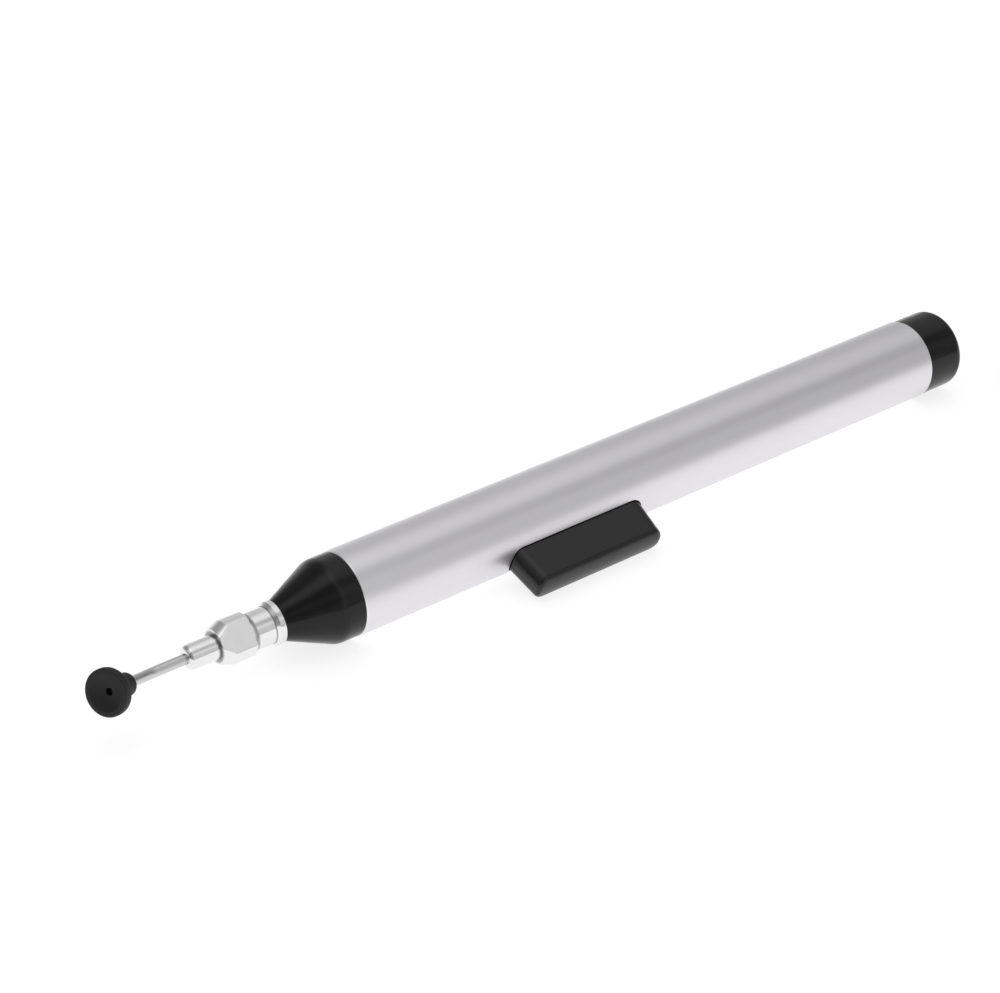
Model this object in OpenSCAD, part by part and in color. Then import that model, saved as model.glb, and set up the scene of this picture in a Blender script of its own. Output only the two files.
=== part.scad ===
// Hand vacuum pen that picks up small electronic parts.
// A rubber bulb inside the barrel is squeezed by the side button. Letting go draws air in through
// the suction cup. The needle head pushes onto a slip taper at the nose and pulls off again.
// The pen lies at rest on its barrel and on the lower edge of its button.

/* [Barrel] */
// Outside diameter of the barrel tube
barrel_d = 12; // [11:0.1:16]
// Length of the barrel tube
barrel_len = 105; // [95:0.5:125]
// Wall of the barrel tube
barrel_wall = 0.8; // [0.6:0.05:1]
// Broken edge on the rims of the barrel tube
barrel_edge = 0.2; // [0.1:0.05:0.3]

/* [Nose cone] */
// Length of the straight lip behind the cone
nose_lip = 3; // [2:0.1:6]
// Length of the cone from the lip to the tip
nose_taper = 7.2; // [5:0.1:9]
// Diameter of the flat tip of the cone
nose_tip_d = 5.4; // [5:0.1:6.4]
// Radius that rounds the shoulder between lip and cone
nose_shoulder_r = 3; // [1:0.5:7]
// Length of the spigot that plugs the front of the barrel
nose_spigot = 9; // [6:0.5:14]
// How far the nose cone and the tail cap stand below the barrel's surface
cap_step = 0.1; // [0:0.05:0.3]

/* [Tail cap] */
// Length of the tail cap behind the barrel
tail_len = 6.9; // [4:0.1:9]
// Radius that rounds the end of the tail cap
tail_edge_r = 1.3; // [0.5:0.1:2.5]
// Length of the spigot that plugs the rear of the barrel
tail_spigot = 8; // [5:0.5:14]
// Wall of the hollow tail cap
tail_wall = 1; // [0.8:0.1:1.4]

/* [Nozzle] */
// Diameter of the slip taper at its free end
slip_tip_d = 3.5; // [3.2:0.05:3.8]
// Growth in diameter of the slip taper for each millimetre of length
slip_rate = 0.06; // [0.04:0.01:0.08]
// Step from the root of the slip taper out to the shank in the nose cone
shank_step = 0.12; // [0.05:0.01:0.25]
// Diameter of the air bore through the nozzle
air_bore_d = 1.8; // [1.2:0.1:2.2]
// Thickness of the flange that seats inside the nose cone
nozzle_flange = 1.2; // [0.8:0.1:2]
// Length of the barbed tail that holds the bulb
barb_len = 7.5; // [6:0.5:9]
// Number of ridges on the barbed tail
barb_count = 3; // [2:1:5]
// Depth of the groove in front of each ridge
barb_depth = 0.35; // [0.2:0.05:0.5]
// Length over which each ridge rises
barb_rise = 0.4; // [0.2:0.1:0.8]

/* [Bulb] */
// Wall of the rubber bulb
bulb_wall = 1.2; // [0.8:0.1:1.5]
// Length of the rubber bulb behind the button's saddle
bulb_tail = 8; // [6:0.5:20]

/* [Button] */
// Length of the button along the barrel
button_len = 22.8; // [16:0.1:28]
// Width of the button
button_w = 4.4; // [3.6:0.1:5]
// Height of the press face above the barrel's surface
button_rise = 5.4; // [4:0.1:7]
// Distance from the front of the barrel to the front of the button
button_x = 24.1; // [18:0.1:30]
// Radius of the upright corners of the button
button_corner_r = 1.8; // [0.8:0.1:1.8]
// Radius that rounds the rim of the press face
button_edge_r = 0.6; // [0.3:0.05:0.7]
// Draft on each side of the button, from its root to its press face
button_draft = 0.1; // [0:0.05:0.3]
// How far each end of the button leans in, from the barrel to its press face
button_lean = 0.35; // [0:0.05:0.6]
// Thickness of the curved saddle that keeps the button in the barrel
saddle_t = 1; // [0.7:0.05:1.1]
// How far the saddle reaches past the slot on each side
saddle_lip = 1.1; // [0.8:0.1:1.3]

/* [Needle head] */
// Diameter of the rear flange of the hub
hub_flange_d = 6; // [5.4:0.1:7]
// Length of the rear flange of the hub
hub_flange = 0.8; // [0.5:0.1:1.5]
// Length of the flare from the flange down to the waist
hub_flare = 0.5; // [0.2:0.1:0.8]
// Diameter of the waist of the hub
waist_d = 5.1; // [4.8:0.1:5.4]
// Length of the waist
waist_len = 2.8; // [1.5:0.1:4]
// Diameter of the grip section of the hub
grip_d = 6.1; // [5.8:0.1:7]
// Length of the grip section
grip_len = 5.1; // [4.6:0.1:8]
// Distance across the two flats of the grip section
grip_flats = 4.8; // [4.6:0.1:5.4]
// Length and depth of the chamfer behind the grip section
grip_rear_chamfer = 0.5; // [0.3:0.1:0.6]
// Length of the cone in front of the grip section
grip_cone = 1.5; // [0.8:0.1:2]
// Depth of the cone in front of the grip section
grip_cone_depth = 0.6; // [0.3:0.1:0.8]
// Length of solid metal between the hub's socket and its front collar
socket_floor = 1.4; // [0.8:0.1:2.5]
// Diameter of the front collar
collar_d = 3.4; // [3:0.1:4.2]
// Length of the front collar
collar_len = 4.4; // [3:0.1:6]
// Radius that rounds the front of the collar
collar_edge_r = 0.7; // [0.3:0.1:0.8]
// Outside diameter of the needle
needle_d = 1.4; // [1.1:0.05:1.6]
// Inside diameter of the needle
needle_bore = 0.8; // [0.5:0.05:0.9]
// Length of needle from the collar to the bend
needle_reach = 5.1; // [4:0.1:10]
// Length of needle and cup from the bend to the cup's face
cup_reach = 9.8; // [8:0.1:14]
// Angle of the bend in the needle
bend_angle = 30; // [10:1:45]
// Radius of the bend, at the middle of the needle
bend_r = 3; // [2:0.5:5]
// How much the needle swells where it is bent
bend_swell = 0.01; // [0.005:0.005:0.03]
// Turn of the head about the pen, from level to bend upwards
head_turn = 37; // [0:1:60]

/* [Suction cup] */
// Diameter of the cup's rim
cup_d = 6.2; // [5.4:0.1:8]
// Height of the cup from its face to the end of its sleeve
cup_h = 4.9; // [4.5:0.1:7]
// Thickness of the rim
cup_rim = 1.4; // [1.1:0.1:1.7]
// Radius of the front edge of the rim
cup_front_r = 0.3; // [0.2:0.05:0.4]
// Radius of the back edge of the rim
cup_back_r = 0.7; // [0.4:0.05:0.8]
// Angle that the back edge of the rim turns through
cup_back_sweep = 75; // [60:1:85]
// Width of the flat lip around the cup's face
cup_lip = 0.4; // [0.3:0.05:0.6]
// Depth of the hollow in the cup's face
cup_hollow = 0.9; // [0.5:0.1:1]
// Thickness of rubber between the hollow and the end of the needle
cup_floor = 0.9; // [0.6:0.1:1.2]
// Diameter of the air hole in the cup's face
cup_hole_d = 1; // [0.6:0.05:1.05]
// Diameter of the root of the sleeve, behind the rim
sleeve_root_d = 3.4; // [3.1:0.1:3.8]
// Diameter of the end of the sleeve
sleeve_end_d = 3; // [2.6:0.1:3.2]
// Radius that rounds the end of the sleeve
sleeve_edge_r = 0.5; // [0.2:0.05:0.55]

/* [Clearances] */
// Gap all round a pressed or glued joint
press_gap = 0.02; // [0.01:0.005:0.04]
// Gap all round the slip taper
slip_gap = 0.05; // [0.03:0.01:0.08]
// Gap between the hub and the tip of the nose cone
seat_gap = 0.15; // [0.1:0.05:0.3]
// Gap between the hub's socket and the end of the slip taper
socket_gap = 0.4; // [0.2:0.1:0.6]
// Gap between the button and its slot, and between the saddle and the barrel
slide_gap = 0.15; // [0.1:0.05:0.25]
// Gap between the bulb and the bore of the nose cone
bulb_gap = 0.2; // [0.1:0.05:0.3]
// Gap between the bulb and the saddle that presses on it
touch_gap = 0.05; // [0.03:0.01:0.1]

/* [Hidden] */
$fn = 96;
arc_steps = 8;
hull_fn = 32;
// How far a cut runs past the surface that it opens
cut = 1;
// How far the straight lengths of the needle run into its bend
bend_lap = 0.1;
// How far the root of the button lies outside the saddle's inner face
root_inset = 0.1;

// The pen's axis is X, with the front rim of the barrel at zero and the tail towards +X.
barrel_r = barrel_d / 2;
barrel_ir = barrel_r - barrel_wall;
spigot_r = barrel_ir - press_gap;
cap_r = barrel_r - cap_step;

// Button, slot and saddle, measured from the pen's axis.
button_mid = button_x + button_len / 2;
press_r = barrel_r + button_rise;
saddle_r = barrel_ir - slide_gap;
saddle_ir = saddle_r - saddle_t;
button_root = saddle_ir + root_inset;
slot_len = button_len + 2 * slide_gap;
slot_w = button_w + 2 * slide_gap;
slot_corner_r = button_corner_r + slide_gap;
saddle_len = slot_len + 2 * saddle_lip;
saddle_w = slot_w + 2 * saddle_lip;

// The bulb fills the saddle and ends behind it.
bulb_r = saddle_ir - touch_gap;
bulb_ir = bulb_r - bulb_wall;
bulb_len = button_mid + saddle_len / 2 + bulb_tail;

nose_len = nose_lip + nose_taper;
nose_tip_r = nose_tip_d / 2;
nose_bore_r = bulb_r + bulb_gap;
cone_angle = atan((cap_r - nose_tip_r) / nose_taper);
shoulder_run = nose_shoulder_r * tan(cone_angle / 2);

// Hub stations, each a place on the pen's axis, from the rear flange forwards.
hub_rear = -nose_len - seat_gap;
flare_x = hub_rear - hub_flange;
waist_x = flare_x - hub_flare;
grip_x = waist_x - waist_len;
collar_x = grip_x - grip_len;
hub_front = collar_x - collar_len;
grip_r = grip_d / 2;
collar_r = collar_d / 2;
socket_end = collar_x + socket_floor;
needle_fit_r = needle_d / 2 + press_gap;

// The slip taper fills the hub's socket. The nozzle's flange ends level with the front rim of the
// barrel, where the bulb begins.
slip_end = socket_end + socket_gap;
slip_tip_r = slip_tip_d / 2;
slip_root_r = slip_tip_r + slip_rate / 2 * (-nose_len - slip_end);
socket_mouth_r = slip_tip_r + slip_rate / 2 * (hub_rear - slip_end) + slip_gap;
shank_r = slip_root_r + shank_step;
nozzle_seat = -nozzle_flange;
barb_r = bulb_ir - press_gap;
barb_pitch = barb_len / barb_count;

// The needle bends at bend_x towards its tip, and the cup's face is at cup_reach from there.
bend_x = hub_front - needle_reach;
bend_run = bend_r * tan(bend_angle / 2);
needle_floor = cup_hollow + cup_floor;
needle_tip = cup_reach - needle_floor - press_gap;
cup_r = cup_d / 2;

// The hollow in the cup's face is part of a sphere that ends at the flat lip.
dish_r = cup_r - cup_front_r - cup_lip;
dish_sphere_r = (dish_r * dish_r + cup_hollow * cup_hollow) / (2 * cup_hollow);

// Roll of the pen that lets the lower rim of the press face touch the table with the barrel.
rim_reach = press_r - button_edge_r;
rim_half_w = button_w / 2 - button_draft - button_edge_r;
rim_lift = barrel_r - button_edge_r;
roll = asin(rim_lift / norm([rim_reach, rim_half_w])) - atan2(rim_half_w, rim_reach);

// Middle of the pen's outline on the table, which is the origin.
cup_edge = [cup_reach - cup_front_r, cup_r - cup_front_r];
front_x = bend_x - cup_edge * [cos(bend_angle), sin(bend_angle)] - cup_front_r;
mid_x = (front_x + barrel_len + tail_len) / 2;
side_y = -(rim_reach * cos(roll) + rim_half_w * sin(roll) + button_edge_r);
mid_y = (barrel_r + side_y) / 2;

black_gloss = [0.06, 0.06, 0.065];
black_matt = [0.13, 0.13, 0.135];
rubber_grey = [0.17, 0.17, 0.175];
rubber_bulb = [0.35, 0.33, 0.3];
silver = [0.76, 0.76, 0.78];
chrome = [0.85, 0.85, 0.86];
steel = [0.68, 0.68, 0.69];

// Points of an arc about (r, x) from one angle to another, the angle being zero along +r.
function arc(r, x, radius, from, to) =
    [for (i = [0 : arc_steps])
        let (a = from + (to - from) * i / arc_steps)
            [r + radius * cos(a), x + radius * sin(a)]];

// Solid turned about the pen's axis from points [radius, place on the axis].
module turned(points) {
    rotate([0, 90, 0])
        rotate_extrude()
            polygon(points);
}

// Rod along the pen's axis between two places.
module rod(from, to, radius) {
    translate([from, 0, 0])
        rotate([0, 90, 0])
            cylinder(h = to - from, r = radius);
}

// Places a piece of the pen as it lies on the table.
module on_table() {
    translate([-mid_x, -mid_y, barrel_r])
        rotate([roll, 0, 0])
            children();
}

// Places a piece of the needle head, turned about the pen's axis by itself.
module on_nozzle() {
    translate([-mid_x, -mid_y, barrel_r])
        rotate([-head_turn, 0, 0])
            children();
}

// Plan of the button or of its slot, with round corners.
module rounded_plan(length, width, corner) {
    square([length - 2 * corner, width], center = true);
    square([length, width - 2 * corner], center = true);
    for (sx = [-1, 1], sy = [-1, 1])
        translate([sx * (length / 2 - corner), sy * (width / 2 - corner)])
            circle(r = corner);
}

// Turns upright shapes so that they rise from the pen's axis towards the button's side.
module towards_button() {
    translate([button_mid, 0, 0])
        rotate([90, 0, 0])
            children();
}

module barrel() {
    color(silver)
    on_table()
    difference() {
        turned([
            [barrel_ir + barrel_edge, 0],
            [barrel_r - barrel_edge, 0],
            [barrel_r, barrel_edge],
            [barrel_r, barrel_len - barrel_edge],
            [barrel_r - barrel_edge, barrel_len],
            [barrel_ir + barrel_edge, barrel_len],
            [barrel_ir, barrel_len - barrel_edge],
            [barrel_ir, barrel_edge],
        ]);
        towards_button()
            linear_extrude(height = barrel_r + cut)
                rounded_plan(slot_len, slot_w, slot_corner_r);
    }
}

// Cone with a rounded shoulder, a spigot in the barrel and a seat for the nozzle.
module nose_cone() {
    color(black_gloss)
    on_table()
    turned(concat(
        [
            [shank_r + press_gap, -nose_len],
            [nose_tip_r, -nose_len],
        ],
        arc(cap_r - nose_shoulder_r, shoulder_run - nose_lip, nose_shoulder_r, -cone_angle, 0),
        [
            [cap_r, 0],
            [spigot_r, 0],
            [spigot_r, nose_spigot],
            [nose_bore_r, nose_spigot],
            [nose_bore_r, nozzle_seat],
            [shank_r + press_gap, nozzle_seat],
        ]
    ));
}

// Saw-tooth outline of one ridge on the barbed tail.
function barb_tooth(i) = [
    [barb_r - barb_depth, i * barb_pitch],
    [barb_r, i * barb_pitch + barb_rise],
    [barb_r - barb_depth, (i + 1) * barb_pitch],
];

// Turned nozzle: slip taper, shank, flange and barbed tail about one air bore.
module nozzle() {
    color(chrome)
    on_table()
    turned(concat(
        [
            [air_bore_d / 2, slip_end],
            [slip_tip_r, slip_end],
            [slip_root_r, -nose_len],
            [shank_r, -nose_len],
            [shank_r, nozzle_seat],
            [bulb_r, nozzle_seat],
            [bulb_r, 0],
        ],
        [for (i = [0 : barb_count - 1]) each barb_tooth(i)],
        [[air_bore_d / 2, barb_len]]
    ));
}

// Rubber tube closed by a round end, pushed over the barbed tail.
module bulb() {
    color(rubber_bulb)
    on_table()
    turned(concat(
        [
            [bulb_ir, 0],
            [bulb_r, 0],
        ],
        arc(0, bulb_len - bulb_r, bulb_r, 0, 90),
        arc(0, bulb_len - bulb_r, bulb_ir, 90, 0)
    ));
}

// One corner of the button: an upright root, and a top that is drafted, leans in from the end and is
// rounded over at the press face.
module button_corner(sx, sy) {
    top_r = button_corner_r - button_draft;
    root_x = button_len / 2 - button_corner_r;
    corner_y = button_w / 2 - button_corner_r;
    translate([sx * root_x, sy * corner_y, button_root])
        cylinder(h = barrel_r - button_root, r = button_corner_r, $fn = hull_fn);
    translate([sx * (root_x - button_lean), sy * corner_y, 0])
        rotate_extrude($fn = hull_fn)
            polygon(concat(
                [[0, press_r - button_edge_r]],
                arc(top_r - button_edge_r, press_r - button_edge_r, button_edge_r, 0, 90),
                [[0, press_r]]
            ));
}

// Press bar on a curved saddle, which is wider than the slot and rests on the bulb.
module button() {
    color(black_matt)
    on_table() {
        towards_button()
            hull()
                for (sx = [-1, 1], sy = [-1, 1])
                    button_corner(sx, sy);
        intersection() {
            difference() {
                rod(button_mid - saddle_len / 2, button_mid + saddle_len / 2, saddle_r);
                rod(button_mid - saddle_len, button_mid + saddle_len, saddle_ir);
            }
            towards_button()
                linear_extrude(height = barrel_r)
                    square([saddle_len, saddle_w], center = true);
        }
    }
}

// Hollow end cap with a rounded end and a spigot in the barrel.
module tail_cap() {
    tail_end = barrel_len + tail_len;
    color(black_gloss)
    on_table()
    turned(concat(
        [
            [0, tail_end - tail_wall - tail_edge_r],
            [spigot_r - tail_wall, tail_end - tail_wall - tail_edge_r],
            [spigot_r - tail_wall, barrel_len - tail_spigot],
            [spigot_r, barrel_len - tail_spigot],
            [spigot_r, barrel_len],
            [cap_r, barrel_len],
        ],
        arc(cap_r - tail_edge_r, tail_end - tail_edge_r, tail_edge_r, 0, 90),
        [[0, tail_end]]
    ));
}

// Turned hub: flange, waist, grip section with two flats, and collar around the needle.
module needle_hub() {
    color(chrome)
    on_nozzle()
    difference() {
        turned(concat(
            [
                [socket_mouth_r, hub_rear],
                [hub_flange_d / 2, hub_rear],
                [hub_flange_d / 2, flare_x],
                [waist_d / 2, waist_x],
                [waist_d / 2, grip_x],
                [grip_r - grip_rear_chamfer, grip_x],
                [grip_r, grip_x - grip_rear_chamfer],
                [grip_r, collar_x + grip_cone],
                [grip_r - grip_cone_depth, collar_x],
                [collar_r, collar_x],
            ],
            arc(collar_r - collar_edge_r, hub_front + collar_edge_r, collar_edge_r, 0, -90),
            [
                [needle_fit_r, hub_front],
                [needle_fit_r, socket_end],
                [slip_tip_r + slip_gap, socket_end],
                [slip_tip_r + slip_gap, slip_end],
            ]
        ));
        for (side = [0, 1])
            mirror([0, side, 0])
                translate([collar_x, grip_flats / 2, -grip_d])
                    cube([grip_len, grip_d, 2 * grip_d]);
    }
}

// Bent rod of one radius from the hub's socket to a length past the bend. The straight lengths run
// a little way into the bend, which swells over them.
module bent_rod(radius, rear, tip) {
    rod(bend_x + bend_run - bend_lap, rear, radius);
    translate([bend_x + bend_run, -bend_r, 0])
        rotate([0, 0, 90])
            rotate_extrude(angle = bend_angle)
                translate([bend_r, 0])
                    circle(r = radius + bend_swell);
    towards_cup()
        rod(-tip, bend_lap - bend_run, radius);
}

// Turns a piece about the bend, so that its own -X points at the cup's face.
module towards_cup() {
    translate([bend_x, 0, 0])
        rotate([0, 0, bend_angle])
            children();
}

// Thin tube from the hub's socket to the cup, bent near its end.
module needle() {
    color(steel)
    on_nozzle()
    difference() {
        bent_rod(needle_d / 2, socket_end, needle_tip);
        bent_rod(needle_bore / 2, socket_end + cut, needle_tip + cut);
    }
}

// Rubber cup: dished face with an air hole, thick rim and a sleeve on the needle.
module suction_cup() {
    face = -cup_reach;
    hole_r = cup_hole_d / 2;
    dish_x = face + cup_hollow - dish_sphere_r;
    sleeve_r = sleeve_end_d / 2;
    color(rubber_grey)
    on_nozzle()
    towards_cup()
    turned(concat(
        [[hole_r, face + needle_floor]],
        arc(0, dish_x, dish_sphere_r, acos(hole_r / dish_sphere_r), acos(dish_r / dish_sphere_r)),
        arc(cup_r - cup_front_r, face + cup_front_r, cup_front_r, -90, 0),
        arc(cup_r - cup_back_r, face + cup_rim - cup_back_r, cup_back_r, 0, cup_back_sweep),
        [[sleeve_root_d / 2, face + needle_floor]],
        arc(sleeve_r - sleeve_edge_r, face + cup_h - sleeve_edge_r, sleeve_edge_r, 0, 90),
        [
            [needle_fit_r, face + cup_h],
            [needle_fit_r, face + needle_floor],
        ]
    ));
}

barrel();
nose_cone();
nozzle();
bulb();
button();
tail_cap();
needle_hub();
needle();
suction_cup();
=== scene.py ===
"""Looks of a hand vacuum pen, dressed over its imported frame.

Lengths are millimetres until a mesh is made, and metres from there on. The pen's own frame has its axis on X, the
front rim of the barrel at zero, the tail towards +X and the button towards -Y. The needle head has the same axis, with
its bend towards -Y. Both are then turned about the axis to where they lie on the table.
"""

import math

import bmesh
import bpy
import numpy as np
from mathutils import Matrix, Vector


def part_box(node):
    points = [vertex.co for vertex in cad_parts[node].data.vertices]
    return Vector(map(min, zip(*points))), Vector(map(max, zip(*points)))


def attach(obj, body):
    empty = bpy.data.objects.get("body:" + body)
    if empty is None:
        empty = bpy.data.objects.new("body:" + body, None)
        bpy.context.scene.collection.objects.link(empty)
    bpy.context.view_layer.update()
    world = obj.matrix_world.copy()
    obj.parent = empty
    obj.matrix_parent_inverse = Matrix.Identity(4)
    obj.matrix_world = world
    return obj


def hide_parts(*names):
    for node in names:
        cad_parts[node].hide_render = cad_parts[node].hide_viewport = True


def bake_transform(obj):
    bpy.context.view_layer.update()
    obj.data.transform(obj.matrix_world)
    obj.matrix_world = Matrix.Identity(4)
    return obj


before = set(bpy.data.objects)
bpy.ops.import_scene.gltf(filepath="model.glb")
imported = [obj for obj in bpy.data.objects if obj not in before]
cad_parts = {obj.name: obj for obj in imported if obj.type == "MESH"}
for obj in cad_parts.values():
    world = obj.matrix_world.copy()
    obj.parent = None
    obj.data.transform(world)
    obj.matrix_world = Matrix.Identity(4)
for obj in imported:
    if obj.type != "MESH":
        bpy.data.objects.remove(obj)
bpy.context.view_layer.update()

# Sizes of the pen, as its solids have them.
MM = 0.001
BARREL_R, BARREL_IR, BARREL_LEN, BARREL_EDGE = 6.0, 5.2, 105.0, 0.15
CAP_R, SPIGOT_R = 5.9, 5.18
NOSE_LIP, NOSE_LEN, NOSE_TIP_R, NOSE_SHOULDER_R, NOSE_SPIGOT, NOSE_BORE_R = 3.0, 10.2, 2.7, 3.0, 9.0, 4.2
TAIL_LEN, TAIL_EDGE_R, TAIL_SPIGOT, TAIL_WALL = 6.9, 1.3, 8.0, 1.0
SLIP_END, SLIP_TIP_R, SLIP_ROOT_R, SHANK_R, AIR_BORE_R = -17.75, 1.75, 1.9765, 2.0965, 0.9
NOZZLE_FLANGE, BARB_LEN, BARB_COUNT, BARB_R, BARB_DEPTH, BARB_RISE = 1.2, 7.5, 3, 2.78, 0.35, 0.4
BULB_R, BULB_IR, BULB_LEN, BULB_NECK = 4.0, 2.8, 56.15, 12.0
BUTTON_MID, BUTTON_LEN, BUTTON_W, BUTTON_TOP = 35.5, 22.8, 4.4, 11.4
BUTTON_CORNER, BUTTON_EDGE, BUTTON_DRAFT, BUTTON_LEAN, BUTTON_ROOT = 1.8, 0.6, 0.1, 0.35, 4.15
SADDLE_R, SADDLE_IR, SADDLE_LEN, SADDLE_W = 5.05, 4.05, 25.3, 6.9
SLOT_GAP, PRESS_GAP = 0.15, 0.02
HUB_REAR, FLARE_X, WAIST_X, GRIP_X, COLLAR_X, HUB_FRONT = -10.35, -11.15, -11.65, -14.45, -19.55, -23.95
HUB_FLANGE_R, WAIST_R, GRIP_R, GRIP_HALF_FLATS, COLLAR_R = 3.0, 2.55, 3.05, 2.4, 1.7
GRIP_CHAMFER, GRIP_CONE, GRIP_CONE_DEPTH, COLLAR_EDGE = 0.5, 1.5, 0.6, 0.7
SOCKET_END, SOCKET_MOUTH_R, SOCKET_R = -18.15, 2.022, 1.8
NEEDLE_R, NEEDLE_BORE_R, NEEDLE_TIP = 0.7, 0.4, 7.98
BEND_X, BEND_R, BEND_ANGLE, CUP_REACH = -29.05, 3.0, math.radians(30), 9.8
CUP_R, CUP_H, CUP_RIM, CUP_LIP, CUP_HOLLOW, CUP_FLOOR, CUP_HOLE_R = 3.1, 4.9, 1.4, 0.4, 0.9, 0.9, 0.5
CUP_FRONT_R, CUP_BACK_R, SLEEVE_ROOT_R, SLEEVE_R, SLEEVE_EDGE = 0.3, 0.7, 1.7, 1.5, 0.5
PEN_ROLL, HEAD_ROLL = math.radians(21.7788), math.radians(-37)

# The barrel's box gives the place of the pen's axis and of its front rim.
barrel_low, barrel_high = (np.array(corner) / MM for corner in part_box("barrel"))
FRONT_RIM = np.array([barrel_low[0], *(barrel_low[1:] + barrel_high[1:]) / 2])


def rolled(points, angle):
    """Points turned about the pen's axis by an angle, with y going towards z, then moved to the pen's place."""
    c, s = math.cos(angle), math.sin(angle)
    return points @ np.array([[1, 0, 0], [0, c, s], [0, -s, c]]) + FRONT_RIM


def on_pen(points):
    """Points of the pen's own frame as they lie on the table."""
    return rolled(points, PEN_ROLL)


def on_head(points):
    """Points of the needle head's frame as they lie on the table."""
    return rolled(points, HEAD_ROLL)


def on_cup(points):
    """Points about the cup's own axis, turned about the bend of the needle, then placed with the head."""
    c, s = math.cos(BEND_ANGLE), math.sin(BEND_ANGLE)
    return on_head(points @ np.array([[c, s, 0], [-s, c, 0], [0, 0, 1]]) + [BEND_X, 0, 0])


# Finishes. Values of a node tree are written as sums and products, and each adds its Math nodes.
class Value:
    """A socket of a node tree. Arithmetic on it, with numbers or other values, adds Math nodes to its tree."""

    def __init__(self, tree, socket):
        self.tree, self.socket = tree, socket

    def __add__(self, other):
        return self.tree.math("ADD", self, other)

    def __sub__(self, other):
        return self.tree.math("SUBTRACT", self, other)

    def __rsub__(self, other):
        return self.tree.math("SUBTRACT", other, self)

    def __mul__(self, other):
        return self.tree.math("MULTIPLY", self, other)

    def __truediv__(self, other):
        return self.tree.math("DIVIDE", self, other)

    def __rtruediv__(self, other):
        return self.tree.math("DIVIDE", other, self)

    def __pow__(self, other):
        return self.tree.math("POWER", self, other)

    __radd__, __rmul__ = __add__, __mul__

    def above(self, least):
        """The greater of this value and the least that it may be."""
        return self.tree.math("MAXIMUM", self, least)


class Tree:
    """The node tree of a material or of the world, emptied so that a finish can be written into it."""

    def __init__(self, owner):
        owner.use_nodes = True
        self.nodes, self.links = owner.node_tree.nodes, owner.node_tree.links
        self.nodes.clear()

    def node(self, kind, settings=(), inputs=(), output=0):
        """Any node: its settings first, then a value, link or colour for each named or numbered input. Gives the
        wanted output as a Value, or None from a node that ends the tree."""
        made = self.nodes.new(kind)
        for key, setting in dict(settings).items():
            setattr(made, key, setting)
        for key, given in dict(inputs).items():
            if isinstance(given, Value):
                self.links.new(given.socket, made.inputs[key])
            else:
                made.inputs[key].default_value = given
        return Value(self, made.outputs[output]) if made.outputs else None

    def math(self, operation, a, b):
        """A Math node on two values, of which one may be a plain number."""
        return self.node("ShaderNodeMath", {"operation": operation}, {0: a, 1: b})

    def noise(self, scale, detail, stretch=(1, 1, 1)):
        """Noise from 0 to 1 on Object coordinates, with scale in cells for each metre. Each axis is multiplied by its
        stretch, so a small one draws the pattern out along that axis."""
        place = self.node("ShaderNodeTexCoord", output="Object")
        place = self.node("ShaderNodeMapping", {}, {"Vector": place, "Scale": stretch})
        return self.node("ShaderNodeTexNoise", {}, {"Vector": place, "Scale": scale, "Detail": detail}, "Fac")

    def wear_and_shade(self):
        """The piece's rubbed edges and painted shade: 1 on its rubbed edges, -1 where shade is painted into its
        hollows, and 0 elsewhere.
        """
        return self.node("ShaderNodeAttribute", {"attribute_name": "wear_and_shade"}, output="Fac")

    def blend(self, share, one, other):
        """Colour that goes from one to the other as share goes from 0 to 1."""
        settings = {"data_type": "RGBA", "clamp_factor": True}
        return self.node("ShaderNodeMix", settings, {0: share, 6: one, 7: other}, 2)

    def bump(self, height, depth):
        """Normal of a surface that rises and falls with a height from 0 to 1, over a depth in millimetres."""
        return self.node("ShaderNodeBump", {}, {"Height": height, "Distance": depth * MM})


def colour(red, green, blue):
    """A colour for a socket."""
    return (red, green, blue, 1.0)


def surface(name, write):
    """A material whose Principled shader gets the sockets that write(tree) gives."""
    material = bpy.data.materials.new(name)
    tree = Tree(material)
    shader = tree.node("ShaderNodeBsdfPrincipled", {}, write(tree))
    tree.node("ShaderNodeOutputMaterial", {}, {"Surface": shader})
    return material


def anodised(tree):
    """Satin anodised tube: fine blasted grain, faint drawing streaks along the axis, cloudy tint, bright worn rims."""
    grain = tree.noise(5200, 2)
    streak = tree.noise(900, 2, (0.02, 1, 1))
    cloud = tree.noise(70, 2)
    tint = tree.blend(cloud, colour(0.77, 0.752, 0.78), colour(0.805, 0.792, 0.81))
    tint = tree.blend(streak * 0.25, tint, colour(0.70, 0.70, 0.72))
    wear_and_shade = tree.wear_and_shade()
    return {
        "Base Color": tree.blend(wear_and_shade * 0.6, tint, colour(0.88, 0.88, 0.88)),
        "Metallic": 1.0,
        "Roughness": 0.33 + grain * 0.06 + streak * 0.05 - wear_and_shade * 0.08,
        "Normal": tree.bump(grain + streak * 0.5, 0.006),
    }


def gloss_black(tree):
    """Moulded gloss black: slight ripple, fine scuffs in the gloss, edges a little greyed."""
    ripple = tree.noise(420, 1)
    scuff = tree.noise(1500, 3, (0.25, 1, 1))
    wear_and_shade = tree.wear_and_shade()
    deep, greyed = colour(0.002, 0.002, 0.0022), colour(0.02, 0.02, 0.021)
    return {
        "Base Color": tree.blend(wear_and_shade * 0.5 + scuff * 0.1, deep, greyed),
        "Roughness": 0.10 + scuff**3 * 0.5 + wear_and_shade * 0.06,
        "IOR": 1.38,
        "Normal": tree.bump(ripple, 0.006),
    }


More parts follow.
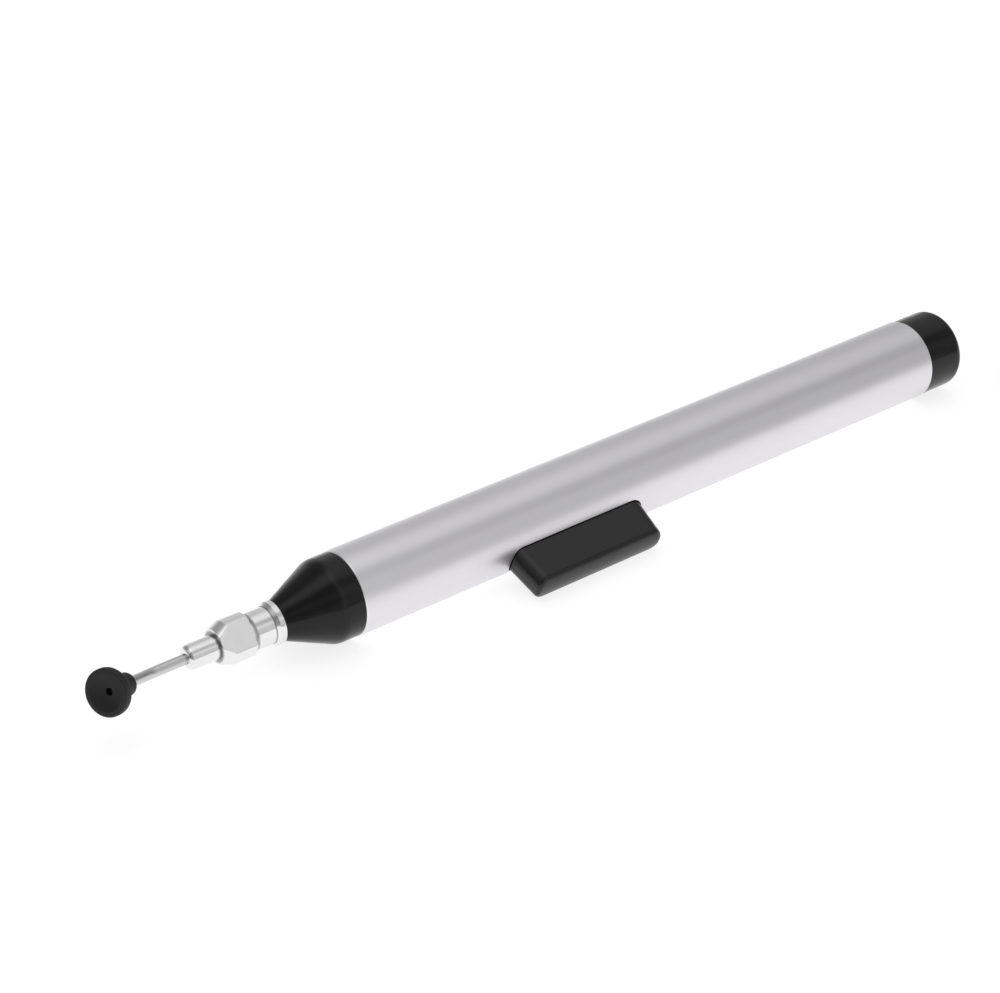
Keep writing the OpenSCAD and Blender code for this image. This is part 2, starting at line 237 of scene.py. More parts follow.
def satin_black(tree):
    """Moulded satin black: spark-eroded grain and rubbed edges."""
    grain = tree.noise(4200, 2)
    rub = tree.noise(180, 3)
    deep, rubbed = colour(0.002, 0.002, 0.0021), colour(0.010, 0.010, 0.0104)
    return {
        "Base Color": tree.blend(tree.wear_and_shade() * 0.4 + rub * 0.2, deep, rubbed),
        "Roughness": 0.24 + grain * 0.10 - rub * 0.06,
        "IOR": 1.47,
        "Normal": tree.bump(grain, 0.012),
    }


def bright_plate(tree):
    """Bright nickel plate over turned brass: fine tool rings across the axis, a little haze, and shade painted dark
    into the hollows.
    """
    rings = tree.noise(2600, 2, (1, 0.03, 0.03))
    haze = tree.noise(500, 3)
    plate = tree.blend(haze, colour(0.80, 0.80, 0.81), colour(0.88, 0.88, 0.885))
    # Painted shade: below zero, in the hub's inner corners, the plate is darkened towards dark grey and made rougher.
    hollow = (0 - tree.wear_and_shade()).above(0)
    return {
        "Base Color": tree.blend(hollow * 0.8, plate, colour(0.22, 0.21, 0.205)),
        "Metallic": 1.0,
        "Roughness": 0.09 + rings * 0.06 + haze * 0.06 + hollow * 0.2,
        "Normal": tree.bump(rings, 0.004),
    }


def drawn_steel(tree):
    """Drawn steel tube: streaks along the needle and a dull grey skin."""
    streak = tree.noise(3000, 3, (0.04, 1, 1))
    haze = tree.noise(400, 2)
    dull, bright = colour(0.56, 0.56, 0.57), colour(0.69, 0.69, 0.695)
    return {
        "Base Color": tree.blend(streak * 0.6 + haze * 0.3, dull, bright),
        "Metallic": 1.0,
        "Roughness": 0.29 + streak * 0.14,
        "Normal": tree.bump(streak, 0.004),
    }


def cup_rubber(tree):
    """Matt moulded rubber: soft mottling, fine grain and a dusty bloom on the edges."""
    mottle = tree.noise(600, 3)
    grain = tree.noise(6000, 2)
    clean, dusty = colour(0.008, 0.008, 0.0083), colour(0.019, 0.019, 0.0196)
    return {
        "Base Color": tree.blend(mottle * 0.5 + tree.wear_and_shade() * 0.5, clean, dusty),
        "Roughness": 0.55 + mottle * 0.15,
        "IOR": 1.45,
        "Normal": tree.bump(grain, 0.01),
    }


def bulb_rubber(tree):
    """Extruded natural rubber: tan grey, chalky, with faint lines along its length."""
    chalk = tree.noise(300, 4)
    lines = tree.noise(1500, 2, (0.03, 1, 1))
    return {
        "Base Color": tree.blend(chalk, colour(0.20, 0.18, 0.15), colour(0.27, 0.25, 0.22)),
        "Roughness": 0.7 + lines * 0.1,
        "Normal": tree.bump(lines, 0.01),
    }


ANODISED = surface("anodised_tube", anodised)
GLOSS_BLACK = surface("gloss_black", gloss_black)
SATIN_BLACK = surface("satin_black", satin_black)
BRIGHT_PLATE = surface("bright_plate", bright_plate)
DRAWN_STEEL = surface("drawn_steel", drawn_steel)
CUP_RUBBER = surface("cup_rubber", cup_rubber)
BULB_RUBBER = surface("bulb_rubber", bulb_rubber)

# Surfaces. A patch is a grid of points and a grid from -1 to 1 of rubbed edges and painted shade, the shade
# below zero, both worked out as whole arrays.
TURN_STEPS = 144
ARC_STEP, FEWEST_STEPS, MOST_STEPS = 0.05, 5, 28
LEAD_SHARE, LONGEST_LEAD = 0.5, 0.1
WELD = 1e-7
SHARP = math.radians(32)
SAME, SAME_DIGITS = 1e-9, 9

# Radii of edges, from the seam between two pieces to the inner corner of a moulding, and the lesser degrees of wear.
SEAM_EDGE, CRISP_EDGE, TURNED_EDGE, CONE_EDGE = 0.05, 0.08, 0.1, 0.12
EASED_EDGE, MOULDED_EDGE, FILLET = 0.15, 0.2, 0.3
LIGHT_WEAR, HALF_WEAR = 0.4, 0.5


def unit(vector):
    """The vector at length one."""
    return vector / np.linalg.norm(vector)


def rounded(corners):
    """Closed outline with rows (x, r, wear): straight lines between (x, r, radius, wear) corners, and at each corner
    the arc of that radius that touches both of its lines, with a row for about each ARC_STEP of its length. A row just
    outside each end of an arc, by a lead, keeps the lines flat."""
    corners = np.array(corners, float)
    rows = []
    for i, (x, r, radius, wear_and_shade) in enumerate(corners):
        corner = np.array([x, r])
        if radius == 0:
            rows.append([[x, r, wear_and_shade]])
            continue
        back = unit(corners[i - 1, :2] - corner)
        ahead = unit(corners[(i + 1) % len(corners), :2] - corner)
        half = math.acos(np.clip(back @ ahead, -1, 1)) / 2
        reach, sweep = radius / math.tan(half), math.pi - 2 * half
        centre = corner + unit(back + ahead) * radius / math.sin(half)
        steps = int(np.clip(radius * sweep / ARC_STEP, FEWEST_STEPS, MOST_STEPS))
        t = np.linspace(0, 1, steps + 1)[:, None]
        start, end = corner + back * reach - centre, corner + ahead * reach - centre
        arc = centre + (np.sin((1 - t) * sweep) * start + np.sin(t * sweep) * end) / math.sin(sweep)
        lead = min(LEAD_SHARE * radius, LONGEST_LEAD)
        rows.append([[*(corner + back * (reach + lead)), 0]])
        rows.append(np.column_stack([arc, np.full(len(arc), wear_and_shade)]))
        rows.append([[*(corner + ahead * (reach + lead)), 0]])
    rows.append(rows[0][:1])
    return np.concatenate(rows)


def turned(outline):
    """Patch of a turned piece: each outline row (x, r, wear) carried round the axis, P = (x, r cos a, r sin a)."""
    a = np.linspace(0, 2 * math.pi, TURN_STEPS + 1)
    x, r, wear_and_shade = outline.T[:, :, None]
    return np.stack([x + 0 * a, r * np.cos(a), r * np.sin(a)], -1), wear_and_shade + 0 * a


def plain(grid):
    """Patch of a grid of points with no wear."""
    return grid, np.zeros(grid.shape[:2])


def piece(name, patches, place, body, slot, finish, *nodes):
    """One mesh from patches: neighbours in a grid make a four-sided face, and points that meet at seams, poles and
    patch edges become one. place puts the points on the table. The piece stands for the named nodes, and rides on a
    body unless that is None."""
    points = np.concatenate([grid.reshape(-1, 3) for grid, _ in patches])
    wear_and_shade = np.concatenate([worn.ravel() for _, worn in patches])
    faces, first = [], 0
    for grid, _ in patches:
        index = first + np.arange(grid[..., 0].size).reshape(grid.shape[:2])
        sides = [index[:-1, :-1], index[1:, :-1], index[1:, 1:], index[:-1, 1:]]
        faces.append(np.stack(sides, -1).reshape(-1, 4))
        first += index.size
    mesh = bpy.data.meshes.new(name)
    mesh.from_pydata((place(points) * MM).tolist(), [], np.concatenate(faces).tolist())
    mesh.attributes.new("wear_and_shade", "FLOAT", "POINT").data.foreach_set("value", wear_and_shade.astype(np.float32))
    shell = bmesh.new()
    shell.from_mesh(mesh)
    bmesh.ops.remove_doubles(shell, verts=shell.verts, dist=WELD)
    bmesh.ops.recalc_face_normals(shell, faces=shell.faces)
    shell.to_mesh(mesh)
    shell.free()
    mesh.polygons.foreach_set("use_smooth", np.ones(len(mesh.polygons), bool))
    mesh.set_sharp_from_angle(angle=SHARP)
    mesh.materials.append(finish)
    made = bpy.data.objects.new(name, mesh)
    bpy.context.scene.collection.objects.link(made)
    if body:
        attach(made, body)
    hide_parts(*nodes)
    return made


# Plan of a bar with round corners, shared by the button and by its slot in the barrel.
CORNER_STEPS, LONG_STEPS, SHORT_STEPS = 25, 48, 12


def bar_round():
    """Way round a bar's plan, closed: the direction of each outline point from its corner's centre, as an angle, and
    the place of that centre, from -1 to 1 each way. Each corner is an arc, and each side runs on to the next."""
    signs = np.array([[1, 1], [-1, 1], [-1, -1], [1, -1], [1, 1]], float)
    angles, centres = [], []
    for k, steps in enumerate([LONG_STEPS, SHORT_STEPS] * 2):
        angles.append((k + np.linspace(0, 1, CORNER_STEPS)) * math.pi / 2)
        centres.append(np.repeat(signs[k : k + 1], CORNER_STEPS, axis=0))
        t = np.linspace(0, 1, steps + 1)[1:-1, None]
        angles.append(np.full(steps - 1, (k + 1) * math.pi / 2))
        centres.append(signs[k] * (1 - t) + signs[k + 1] * t)
    angles.append([2 * math.pi])
    centres.append(signs[-1:])
    return np.concatenate(angles), np.concatenate(centres)


BAR_ANGLE, BAR_CENTRE = bar_round()


def bar_plan(length, width, corner, inset=0.0):
    """Outline (x, w) of a bar: corner centres plus a circle of the corner's radius, all drawn in by inset."""
    core = BAR_CENTRE * [length / 2 - corner, width / 2 - corner]
    return core + (corner - inset) * np.column_stack([np.cos(BAR_ANGLE), np.sin(BAR_ANGLE)])


def ring_at(plan, radius):
    """A plan (x, w) laid on a tube of a radius about the axis, on the button's side: y = -sqrt(radius^2 - w^2)."""
    x, w = plan.T
    return np.column_stack([x, -np.sqrt(radius**2 - w**2), w])


# Barrel: a tube with broken rims and a slot for the button.
SLOT_LEN, SLOT_W, SLOT_CORNER = BUTTON_LEN + 2 * SLOT_GAP, BUTTON_W + 2 * SLOT_GAP, BUTTON_CORNER + SLOT_GAP
SLOT_EDGE, SLOT_CLEAR, SLOT_MARGIN, SLOT_HALF_TURN = CRISP_EDGE, 0.5, 3.0, math.radians(55)
BAND_STEPS, REST_STEPS, FOLD_STEPS = 14, 100, 4


def slot_frame():
    """Rectangle round the slot, as (x from the slot's middle, angle about the axis) for each point of the slot's plan.
    A corner's arc opens on to the two sides of the rectangle, and a side's point moves straight out."""
    core_x, core_w = (BAR_CENTRE * [SLOT_LEN / 2 - SLOT_CORNER, SLOT_W / 2 - SLOT_CORNER]).T
    core_turn = np.arcsin(core_w / BARREL_R)
    across, along = np.abs(np.cos(BAR_ANGLE)), np.abs(np.sin(BAR_ANGLE))
    on_side = along >= across - SAME
    share = np.arctan2(np.minimum(along, across), np.maximum(along, across)) / (math.pi / 4)
    edge_x = np.sign(BAR_CENTRE[:, 0]) * (SLOT_LEN / 2 + SLOT_MARGIN)
    edge_turn = np.sign(BAR_CENTRE[:, 1]) * SLOT_HALF_TURN
    x = np.where(on_side, core_x + (edge_x - core_x) * share, edge_x)
    turn = np.where(on_side, edge_turn, core_turn + (edge_turn - core_turn) * share)
    return x, turn


def tube_grid(x, turn, radius):
    """Points (x, -r cos t, r sin t) on a tube, the turn t being zero on the button's side."""
    x, turn, radius = np.broadcast_arrays(x, turn, radius)
    return np.stack([x, -radius * np.cos(turn), radius * np.sin(turn)], -1)


def slot_band(frame_x, frame_turn, radius):
    """Rows on a tube from the rectangle in to SLOT_CLEAR outside the slot. x and turn go evenly from the one to the
    other."""
    x, w = bar_plan(SLOT_LEN, SLOT_W, SLOT_CORNER, -SLOT_CLEAR).T
    share = np.linspace(0, 1, BAND_STEPS + 1)[:, None]
    turn = frame_turn + (np.arcsin(w / radius) - frame_turn) * share
    return tube_grid(frame_x + (BUTTON_MID + x - frame_x) * share, turn, radius)


def barrel_patches():
    """The tube in five patches that share their edges: a ring from the slot's wall out to a rectangle, on both faces
    of the tube; the rest of that length, outside and inside; and the two ends, each folded over its rim. A level of the
    slot's edge is (inset of the plan, radius, wear), and the edge itself is a quarter circle."""
    frame_x, frame_turn = slot_frame()
    frame_x = frame_x + BUTTON_MID
    fold = np.linspace(0, math.pi / 2, FOLD_STEPS + 1)
    levels = [
        (-2 * SLOT_EDGE, BARREL_R, 0),
        *[(SLOT_EDGE * (math.sin(a) - 1), BARREL_R - SLOT_EDGE * (1 - math.cos(a)), 1) for a in fold],
        (0, BARREL_R - 2 * SLOT_EDGE, 0),
        (0, BARREL_IR, 0),
    ]
    plans = [bar_plan(SLOT_LEN, SLOT_W, SLOT_CORNER, inset) + [BUTTON_MID, 0] for inset, _, _ in levels]
    edge = np.stack([ring_at(plan, radius) for plan, (_, radius, _) in zip(plans, levels)])
    outer, inner = (slot_band(frame_x, frame_turn, radius) for radius in (BARREL_R, BARREL_IR))
    grid = np.concatenate([outer, edge, inner[::-1]])
    wear_and_shade = np.zeros(grid.shape[:2])
    wear_and_shade[len(outer) : len(outer) + len(edge)] = np.array([[worn] for _, _, worn in levels])
    ring = grid, wear_and_shade

    side = np.isclose(frame_turn, SLOT_HALF_TURN)
    side_x = np.unique(frame_x[side].round(SAME_DIGITS))
    end_turn = np.unique(frame_turn[np.isclose(frame_x, frame_x.max())].round(SAME_DIGITS))
    rest_turn = np.linspace(SLOT_HALF_TURN, 2 * math.pi - SLOT_HALF_TURN, REST_STEPS + 1)
    rests = [plain(tube_grid(side_x[:, None], rest_turn, r)) for r in (BARREL_R, BARREL_IR)]
    whole_turn = np.concatenate([end_turn, rest_turn[1:]])
    ends = []
    for near, rim in [(side_x[0], 0), (side_x[-1], BARREL_LEN)]:
        x, r, worn = rounded([
            (near, BARREL_R, 0, 0),
            (rim, BARREL_R, BARREL_EDGE, 1),
            (rim, BARREL_IR, BARREL_EDGE, 1),
            (near, BARREL_IR, 0, 0),
        ])[:-1].T[:, :, None]
        ends.append((tube_grid(x, whole_turn, r), worn + 0 * whole_turn))
    return [ring, *rests, *ends]


piece("barrel_tube", barrel_patches(), on_pen, "pen", "anodised_tube", ANODISED, "barrel")

# Nose cone and tail cap: turned outlines, each with a spigot in the barrel.
piece("nose_cap", [turned(rounded([
    (-NOSE_LEN, SHANK_R + PRESS_GAP, CRISP_EDGE, 0),
    (-NOSE_LEN, NOSE_TIP_R, MOULDED_EDGE, 1),
    (-NOSE_LIP, CAP_R, NOSE_SHOULDER_R, 0),
    (0, CAP_R, SEAM_EDGE, 0),
    (0, SPIGOT_R, 0, 0),
    (NOSE_SPIGOT, SPIGOT_R, MOULDED_EDGE, 0),
    (NOSE_SPIGOT, NOSE_BORE_R, 0, 0),
    (-NOZZLE_FLANGE, NOSE_BORE_R, 0, 0),
    (-NOZZLE_FLANGE, SHANK_R + PRESS_GAP, 0, 0),
]))], on_pen, "pen", "black_gloss", GLOSS_BLACK, "nose_cone")

TAIL_END = BARREL_LEN + TAIL_LEN
TAIL_HOLLOW = TAIL_END - TAIL_WALL - TAIL_EDGE_R
piece("tail_plug", [turned(rounded([
    (TAIL_HOLLOW, 0, 0, 0),
    (TAIL_HOLLOW, SPIGOT_R - TAIL_WALL, FILLET, 0),
    (BARREL_LEN - TAIL_SPIGOT, SPIGOT_R - TAIL_WALL, 0, 0),
    (BARREL_LEN - TAIL_SPIGOT, SPIGOT_R, MOULDED_EDGE, 0),
    (BARREL_LEN, SPIGOT_R, 0, 0),
    (BARREL_LEN, CAP_R, SEAM_EDGE, 0),
    (TAIL_END, CAP_R, TAIL_EDGE_R, LIGHT_WEAR),
    (TAIL_END, 0, 0, 0),
])[:-1])], on_pen, "pen", "black_gloss", GLOSS_BLACK, "tail_cap")

# Nozzle: slip taper, shank, flange and barbed tail round one bore.
BARB_PITCH = BARB_LEN / BARB_COUNT
BARBS = [row for i in range(BARB_COUNT) for row in (
    (i * BARB_PITCH, BARB_R - BARB_DEPTH, 0, 0),
    (i * BARB_PITCH + BARB_RISE, BARB_R, CRISP_EDGE, 1),
    ((i + 1) * BARB_PITCH, BARB_R - BARB_DEPTH, 0, 0),
)]
piece("slip_nozzle", [turned(rounded([
    (SLIP_END, AIR_BORE_R, TURNED_EDGE, 0),
    (SLIP_END, SLIP_TIP_R, EASED_EDGE, 1),
    (-NOSE_LEN, SLIP_ROOT_R, 0, 0),
    (-NOSE_LEN, SHANK_R, 0, 0),
    (-NOZZLE_FLANGE, SHANK_R, 0, 0),
    (-NOZZLE_FLANGE, BULB_R, TURNED_EDGE, 0),
    (0, BULB_R, TURNED_EDGE, 0),
    *BARBS,
    (BARB_LEN, AIR_BORE_R, TURNED_EDGE, 0),
]))], on_pen, "pen", "bright_plate", BRIGHT_PLATE, "nozzle")

# Bulb: a neck on the barbed tail, and a bladder behind it under the button's saddle, both left round. The neck's
# rear, from BULB_NECK to BULB_JOIN, is made of JOIN_STEPS steps. SADDLE_HOLD only sets the growth given to pressed.
BULB_JOIN, SADDLE_HOLD, JOIN_STEPS = 22.0, 2.0, 20
DOME_TURN = np.linspace(0, math.pi / 2, 17)


def dome(radius):
    """Rows (x, r, wear) of the bulb's round end: a quarter circle down to the axis."""
    x = BULB_LEN - BULB_R + radius * np.sin(DOME_TURN)
    return np.column_stack([x, radius * np.cos(DOME_TURN), 0 * x])


def pressed(part, growth):
    """Bakes the place of a part of the bulb into its mesh. The start and end of a press along growth, in shares for
    each millimetre of the pen's frame, from the far side at the join, are worked out but not used."""
    far = np.array([BULB_JOIN, BULB_R, 0])
    start, end = on_pen(np.stack([far, far + growth / (growth @ growth)])) * MM
    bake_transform(part)


neck_rear = np.linspace(BULB_NECK, BULB_JOIN, JOIN_STEPS + 1)
neck = piece("bulb_neck", [turned(rounded([
    (0, BULB_IR, TURNED_EDGE, 0),
    (0, BULB_R, MOULDED_EDGE, 0),
    *[(x, BULB_R, 0, 0) for x in neck_rear],
    *[(x, BULB_IR, 0, 0) for x in neck_rear[::-1]],
]))], on_pen, None, "bulb_rubber", BULB_RUBBER, "bulb")
bladder_rows = np.concatenate([
    [(BULB_JOIN, BULB_IR, 0), (BULB_JOIN, BULB_R, 0)],
    dome(BULB_R),
    dome(BULB_IR)[::-1],
    [(BULB_JOIN, BULB_IR, 0)],
])
bladder = piece("bulb_bladder", [turned(bladder_rows)], on_pen, None, "bulb_rubber", BULB_RUBBER, "bulb")
per_height = 1 / (BULB_R + SADDLE_HOLD)
per_length = 2 * BULB_R * per_height / (BULB_JOIN - BULB_NECK)
pressed(bladder, np.array([0, -per_height, 0]))
pressed(neck, np.array([per_length, -per_height, 0]))

# Button: a drafted bar with a crowned press face, on a curved saddle.
EDGE_TURN = np.linspace(0, math.pi / 2, 9)
WALL_SHARES = 0.04, 0.5, 0.97
FACE_SHARES = 0.06, 0.2, 0.35, 0.5, 0.65, 0.8, 0.9, 1
CROWN_R, CROWN_EDGE = 6.0, 1.65
SADDLE_STEPS = 32


def bar_patch():
    """The bar: its plan drawn in row by row from the root to the press face, then closed on its middle line at both
    ends. A row is (height from the axis, inset, lean of the ends, wear), and the edge of the press face is a quarter
    circle. The face is crowned across the pen: its height gains sqrt(R^2 - w^2) - sqrt(R^2 - e^2), which is nothing at
    the edge e, and lower rows gain a share of that which goes to zero at the barrel."""
    rim = BUTTON_TOP - BUTTON_EDGE
    fold = [(BUTTON_EDGE * math.sin(a), BUTTON_EDGE * (1 - math.cos(a))) for a in EDGE_TURN]
    levels = [
        (BUTTON_ROOT, 0, 0, 0),
        (BARREL_R, 0, 0, 0),
        *[(BARREL_R + (rim - BARREL_R) * t, BUTTON_DRAFT * t, BUTTON_LEAN * t, 0) for t in WALL_SHARES],
        *[(rim + up, BUTTON_DRAFT + aside, BUTTON_LEAN, 1) for up, aside in fold],
    ]
    plans = [bar_plan(BUTTON_LEN - 2 * lean, BUTTON_W, BUTTON_CORNER, inset) for _, inset, lean, _ in levels]
    spine = BAR_CENTRE * [(BUTTON_LEN - BUTTON_W) / 2, 0]
    face = [plans[-1] * (1 - t) + spine * t for t in FACE_SHARES]
    plans = [spine, *plans, *face]
    heights = np.array([BUTTON_ROOT, *[height for height, _, _, _ in levels], *[BUTTON_TOP] * len(face)])
    wear_and_shade = np.array([0, *[worn for _, _, _, worn in levels], *[0] * len(face)], float)
    x, w = np.stack(plans).transpose(2, 0, 1)
    share = np.clip((heights - BARREL_R) / (rim - BARREL_R), 0, 1)[:, None]
    crown = np.sqrt(CROWN_R**2 - w**2) - math.sqrt(CROWN_R**2 - CROWN_EDGE**2)
    crowned = heights[:, None] + share * crown
    return np.stack([BUTTON_MID + x, -crowned, w], -1), wear_and_shade[:, None] + 0 * x


def saddle_patches():
    """The saddle: an outer and an inner arc across the pen, carried along its length, with its two ends closed."""
    w = np.linspace(-SADDLE_W / 2, SADDLE_W / 2, SADDLE_STEPS + 1)
    outer, inner = (ring_at(np.column_stack([0 * w, w]), r) for r in (SADDLE_R, SADDLE_IR))
    loop = np.concatenate([outer, inner[::-1], outer[:1]])
    ends = [np.array([BUTTON_MID + side * SADDLE_LEN / 2, 0, 0]) for side in (-1, 1)]
    walls = plain(np.stack([loop + end for end in ends]))
    return [walls, *[plain(np.stack([outer, inner]) + end) for end in ends]]


piece("press_button", [bar_patch(), *saddle_patches()], on_pen, "button", "black_satin", SATIN_BLACK, "button")

# Needle hub: a turned outline whose grip section has two flats, with shade painted dark into its inner corners.
FLAT_BLEND, PAINTED_SHADE_FADE, FLAT_STEPS = 0.02, 0.3, 12
ROW_SLACK, FLAT_SLACK, NARROWEST_FLAT_R, LEAST_COSINE = 0.01, 0.02, 2.45, 0.2


def hub_patch(outline):
    """Patch of the hub: P = (x, r cos a, r sin a), where r is the outline's radius, or on the grip section the lesser
    of that and the flats' distance over |cos a|, with the edge between them softened. The grid's lines follow the edges
    of the flats, and draw closer towards them."""
    x, radius, wear_and_shade = outline.T[:, :, None]
    grip = (x < GRIP_X - SAME) & (x > COLLAR_X - ROW_SLACK) & (radius > GRIP_HALF_FLATS - FLAT_SLACK)
    t = np.linspace(0, 1, FLAT_STEPS + 1)
    flat_r = np.where(grip, np.maximum(radius, NARROWEST_FLAT_R), GRIP_R)
    corner = np.arccos(GRIP_HALF_FLATS / flat_r)
    flat, round_part = corner * (1 - (1 - t) ** 2), corner + (math.pi / 2 - corner) * t**2
    quarter = np.hstack([flat, round_part[:, 1:]])
    half = np.hstack([quarter, math.pi - quarter[:, -2::-1]])
    a = np.hstack([half, 2 * math.pi - half[:, -2::-1]])
    flats = GRIP_HALF_FLATS / np.maximum(np.abs(np.cos(a)), LEAST_COSINE)
    soft = -FLAT_BLEND * np.logaddexp(-radius / FLAT_BLEND, -flats / FLAT_BLEND)
    r = np.where(grip, soft, radius + 0 * a)
    return np.stack([x + 0 * a, r * np.cos(a), r * np.sin(a)], -1), wear_and_shade + 0 * a


piece("grip_hub", [hub_patch(rounded([
    (HUB_REAR, SOCKET_MOUTH_R, CRISP_EDGE, 0),
    (HUB_REAR, HUB_FLANGE_R, TURNED_EDGE, 1),
    (FLARE_X, HUB_FLANGE_R, CRISP_EDGE, 1),
    # Rows marked -1 paint shade into the corners at both ends of the waist and at the collar's root; fade rows end it.
    (WAIST_X, WAIST_R, EASED_EDGE, -1),
    (GRIP_X + PAINTED_SHADE_FADE, WAIST_R, 0, 0),
    (GRIP_X, WAIST_R, 0, -1),
    (GRIP_X - GRIP_CHAMFER, GRIP_R, TURNED_EDGE, 1),
    (COLLAR_X + GRIP_CONE, GRIP_R, CONE_EDGE, 1),
    (COLLAR_X, GRIP_R - GRIP_CONE_DEPTH, TURNED_EDGE, 1),
    (COLLAR_X, COLLAR_R + PAINTED_SHADE_FADE, 0, -1),
    (COLLAR_X, COLLAR_R, 0, -1),
    (COLLAR_X - PAINTED_SHADE_FADE, COLLAR_R, 0, 0),
    (HUB_FRONT, COLLAR_R, COLLAR_EDGE, 0),
    (HUB_FRONT, NEEDLE_R + PRESS_GAP, SEAM_EDGE, 0),
    (SOCKET_END, NEEDLE_R + PRESS_GAP, 0, 0),
    (SOCKET_END, SOCKET_R, 0, 0),
    (SLIP_END, SOCKET_R, 0, 0),
]))], on_head, "needle_head", "bright_plate", BRIGHT_PLATE, "needle_hub")

# Needle: a thin tube carried along its bent path.
BEND_STEPS, NEEDLE_STEPS = 16, 40
BEND_RUN = BEND_R * math.tan(BEND_ANGLE / 2)


def needle_patch():
    """Tube along a path: straight to the bend, round an arc, straight to the tip. P = C + r (cos a N + sin a Z), with C
    on the path and N across it. The outside runs to the tip, and the bore runs back to the start."""
    turn = np.concatenate([[0], np.linspace(0, BEND_ANGLE, BEND_STEPS + 1), [BEND_ANGLE]])
    bend = [BEND_X + BEND_RUN, -BEND_R]
    centre = np.column_stack([bend[0] - BEND_R * np.sin(turn), bend[1] + BEND_R * np.cos(turn)])
    tip = np.array([BEND_X, 0]) - NEEDLE_TIP * np.array([math.cos(BEND_ANGLE), math.sin(BEND_ANGLE)])
    centre[0], centre[-1] = (SOCKET_END, 0), tip
    way = np.concatenate([np.arange(len(turn)), np.arange(len(turn))[::-1], [0]])
    radius = np.repeat([NEEDLE_R, NEEDLE_BORE_R, NEEDLE_R], [len(turn), len(turn), 1])[:, None]
    a = np.linspace(0, 2 * math.pi, NEEDLE_STEPS + 1)
    x, y = centre[way].T[:, :, None]
    across = -np.sin(turn[way])[:, None], np.cos(turn[way])[:, None]
    grid = [x + radius * np.cos(a) * across[0], y + radius * np.cos(a) * across[1], radius * np.sin(a)]
    return plain(np.stack(grid, -1))


piece("bent_needle", [needle_patch()], on_head, "needle_head", "needle_steel", DRAWN_STEEL, "needle")

# Suction cup: a dished face with an air hole, a thick rim and a sleeve on the needle.
CUP_FACE, NEEDLE_SEAT = -CUP_REACH, CUP_HOLLOW + CUP_FLOOR
DISH_R, DISH_STEPS = CUP_R - CUP_FRONT_R - CUP_LIP, 14
DISH_SPHERE = (DISH_R**2 + CUP_HOLLOW**2) / (2 * CUP_HOLLOW)


def dish_rows():
    """Rows (x, r, radius, wear) of the cup's hollow, from its hole to its lip: an arc of one sphere."""
    r = np.linspace(CUP_HOLE_R, DISH_R, DISH_STEPS + 1)
    x = CUP_FACE + CUP_HOLLOW - DISH_SPHERE + np.sqrt(DISH_SPHERE**2 - r**2)
    return [(a, b, 0, 0) for a, b in zip(x, r)]


piece("cup", [turned(rounded([
    (CUP_FACE + NEEDLE_SEAT, CUP_HOLE_R, 0, 0),
    *dish_rows(),
    (CUP_FACE, CUP_R, CUP_FRONT_R, 1),
    (CUP_FACE + CUP_RIM, CUP_R, CUP_BACK_R, HALF_WEAR),
    (CUP_FACE + NEEDLE_SEAT, SLEEVE_ROOT_R, FILLET, 0),
    (CUP_FACE + CUP_H, SLEEVE_R, SLEEVE_EDGE, HALF_WEAR),
    (CUP_FACE + CUP_H, NEEDLE_R + PRESS_GAP, SEAM_EDGE, 0),
    (CUP_FACE + NEEDLE_SEAT, NEEDLE_R + PRESS_GAP, 0, 0),
]))], on_cup, "needle_head", "cup_rubber", CUP_RUBBER, "suction_cup")

# Stage: a pale floor that glows, a soft studio sky, and the camera. The floor is in metres.
FLOOR_HALF, FLOOR_GREY, FLOOR_GLOW = 6.0, 0.4, 0.80


def pale_floor(tree):
    """Smooth pale board, lit evenly from below."""
    return {
        "Base Color": colour(FLOOR_GREY, FLOOR_GREY, FLOOR_GREY),
        "Roughness": 0.9,
        "Specular IOR Level": 0.0,
        "Emission Color": colour(1, 1, 1),
        "Emission Strength": FLOOR_GLOW,
    }


floor_corners = np.array([(-1, -1, 0), (1, -1, 0), (1, 1, 0), (-1, 1, 0)]) * FLOOR_HALF
floor_mesh = bpy.data.meshes.new("floor")
floor_mesh.from_pydata(floor_corners.tolist(), [], [(0, 1, 2, 3)])
floor_mesh.materials.append(surface("pale_floor", pale_floor))
floor = bpy.data.objects.new("floor", floor_mesh)
bpy.context.scene.collection.objects.link(floor)

KEY_RISE = math.radians(80)
SKY_LOW, SKY_OVERHEAD = 0.44, 0.58
SKY_MIDDLE, FALL_TO_TAIL, FALL_TO_HEAD = 1.36, 0.9, 0.8
SKY_STRIPS = ((63, 13, 0.45), (26, 5.5, 0.15), (168, 16, -0.45))
GREY_CARDS = (((-0.2, 0.72, 0.66), 0.16, 0.65), ((-0.45, -0.68, 0.58), 0.16, 0.5))


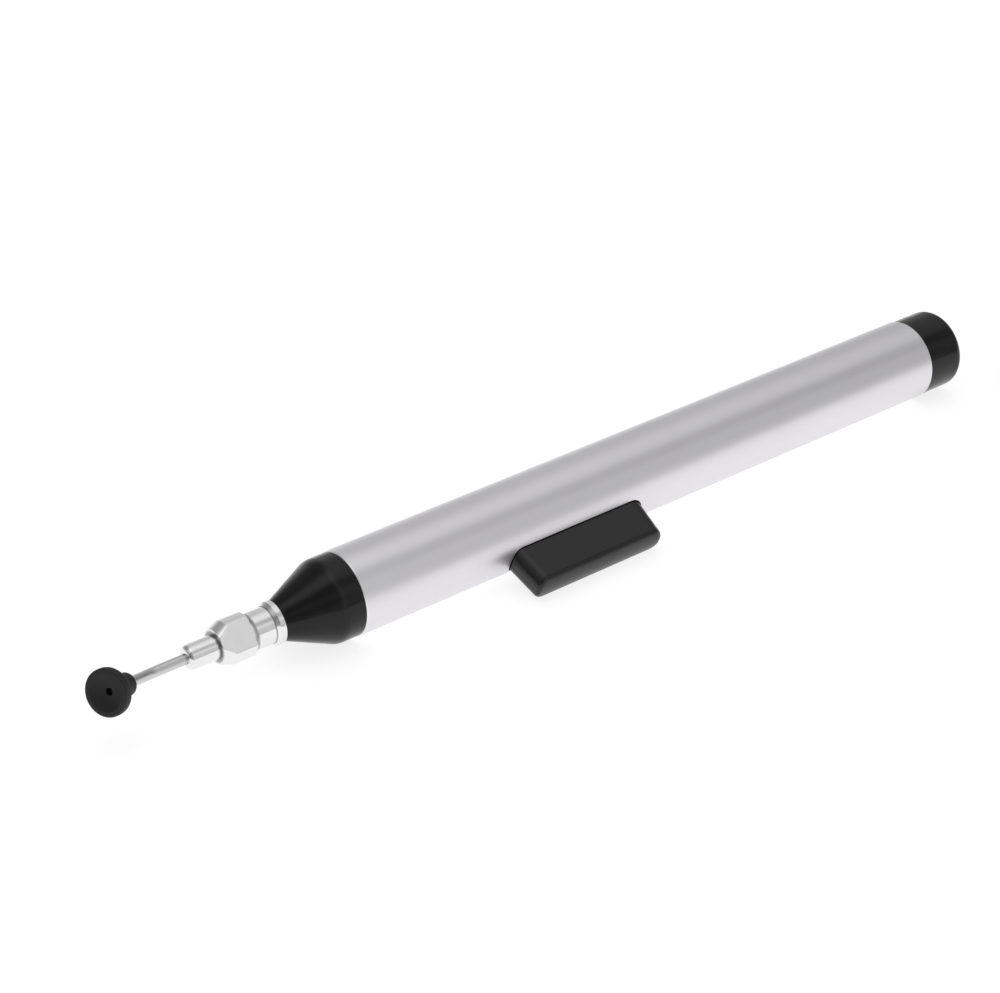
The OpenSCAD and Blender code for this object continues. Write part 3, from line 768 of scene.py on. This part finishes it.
def studio_sky():
    """Soft light from all round, brightest overhead, which falls off towards the tail and towards the head. A strip
    along the pen is (rise above the front, half width, depth), in degrees. It takes away depth / (1 + off^4) of the
    light, with off the distance from its middle in half widths, and a negative depth adds light. A grey card is
    (direction, half width, depth) and does the same, with one less the cosine to its direction as the distance. One
    card is behind the head, and one in front of it."""
    world = bpy.data.worlds.new("studio")
    bpy.context.scene.world = world
    tree = Tree(world)
    way = tree.node("ShaderNodeTexCoord", output="Generated")

    def along(*direction):
        return tree.node("ShaderNodeVectorMath", {"operation": "DOT_PRODUCT"}, {0: way, 1: direction}, "Value")

    overhead = along(0, -math.cos(KEY_RISE), math.sin(KEY_RISE)).above(0)
    to_tail, to_head = along(1, 0, 0).above(0), along(-1, 0, 0).above(0)
    level = (SKY_LOW + SKY_OVERHEAD * overhead) * (SKY_MIDDLE - FALL_TO_TAIL * to_tail - FALL_TO_HEAD * to_head)
    rise = tree.math("ARCTAN2", along(0, 0, 1), along(0, -1, 0)) * math.degrees(1)
    strips = [((rise - middle) / width, depth) for middle, width, depth in SKY_STRIPS]
    cards = [((1 - along(*middle)) / width, depth) for middle, width, depth in GREY_CARDS]
    for off, depth in strips + cards:
        level = level * (1 - depth / (1 + off**2 * off**2))
    light = tree.node("ShaderNodeBackground", {}, {"Color": colour(1, 1, 1), "Strength": level})
    tree.node("ShaderNodeOutputWorld", {}, {"Surface": light})


studio_sky()

# Camera: where it stands from the point that it is aimed at, in metres, and its focal length in pixels of the frame.
AZIMUTH, ELEVATION, DISTANCE = math.radians(-38.209), math.radians(31.272), 0.360
FOCAL_PIXELS, FRAME_W, FRAME_H, SENSOR_MM = 2539.02, 1000, 993, 36.0
AIM_X, AIM_PIXEL = 52.5, (643.85, 467.86)
NEAREST = 0.01


def aim_camera():
    """Camera at the photograph's angle, so that the point AIM_X along the barrel's axis falls on AIM_PIXEL."""
    back = Vector((
        math.sin(AZIMUTH) * math.cos(ELEVATION),
        -math.cos(AZIMUTH) * math.cos(ELEVATION),
        math.sin(ELEVATION),
    ))
    right = Vector((math.cos(AZIMUTH), math.sin(AZIMUTH), 0))
    up = back.cross(right)
    target = Vector((FRONT_RIM + [AIM_X, 0, 0]) * MM)
    per_pixel = DISTANCE / FOCAL_PIXELS
    across = (AIM_PIXEL[0] - FRAME_W / 2) * per_pixel
    down = (AIM_PIXEL[1] - FRAME_H / 2) * per_pixel
    camera = bpy.data.objects.new("camera", bpy.data.cameras.new("camera"))
    camera.data.sensor_width = SENSOR_MM
    camera.data.lens = FOCAL_PIXELS / FRAME_W * SENSOR_MM
    camera.data.clip_start = NEAREST
    turn = Matrix((right, up, back)).transposed().to_4x4()
    camera.matrix_world = Matrix.Translation(target + back * DISTANCE - right * across + up * down) @ turn
    bpy.context.scene.collection.objects.link(camera)
    bpy.context.scene.camera = camera


aim_camera()
bpy.context.scene.view_settings.view_transform = "Standard"
